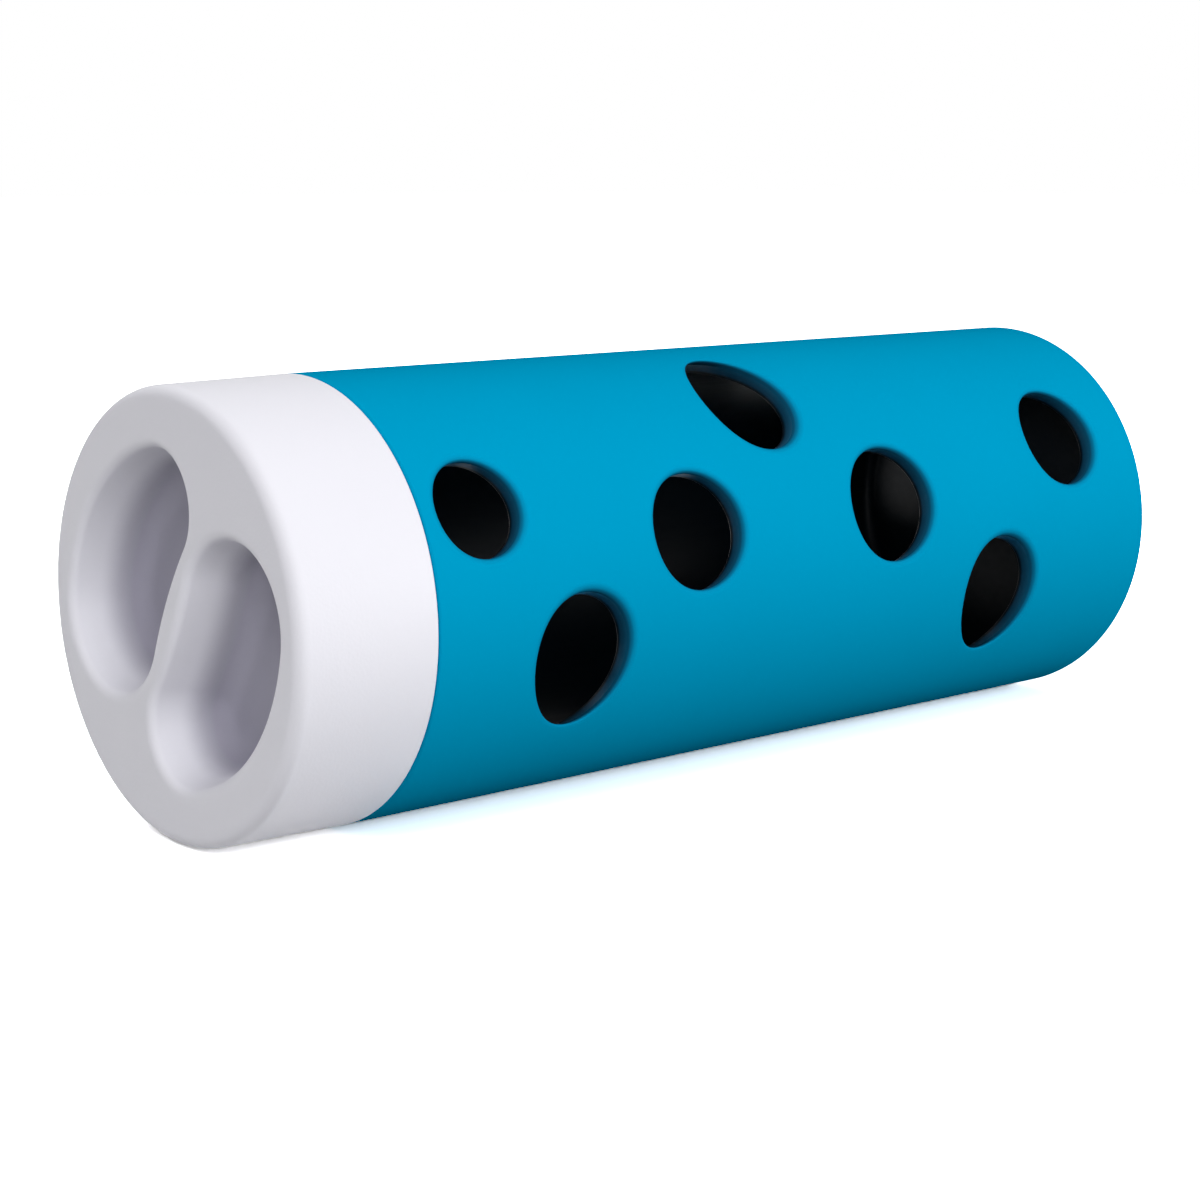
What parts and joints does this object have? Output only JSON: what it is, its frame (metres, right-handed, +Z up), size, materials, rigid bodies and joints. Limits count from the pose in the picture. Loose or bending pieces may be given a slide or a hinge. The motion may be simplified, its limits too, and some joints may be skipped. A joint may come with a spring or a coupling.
{
  "type": "treat dispensing roll toy",
  "caption": "Hollow roller toy for a dog: a soft-skinned tube with round treat holes and a twist-off white end cap with two finger recesses.",
  "frame": {"origin": "middle of the roll's length and width, on the surface that it lies on", "axes": "+X along the roll's axis from the cap to the closed end, +Z up, the seven seen treat holes on the -Y side"},
  "size_m": [0.1618, 0.06, 0.06],
  "materials": {
    "blue_skin": "satin soft-touch skin",
    "black_tube": "semi-gloss moulded plastic",
    "white_cap": "fine satin moulded plastic"
  },
  "bodies": {
    "roll": {"inner_tube": "black_tube", "soft_skin": "blue_skin"},
    "cap": {"end_cap": "white_cap"}
  },
  "joints": [
    {"name": "cap_twist", "type": "hinge", "parent": "roll", "child": "cap", "pos_m": [-0.07065, 0, 0.03], "axis": [-1, 0, 0], "range_deg": [0, 65]}
  ]
}
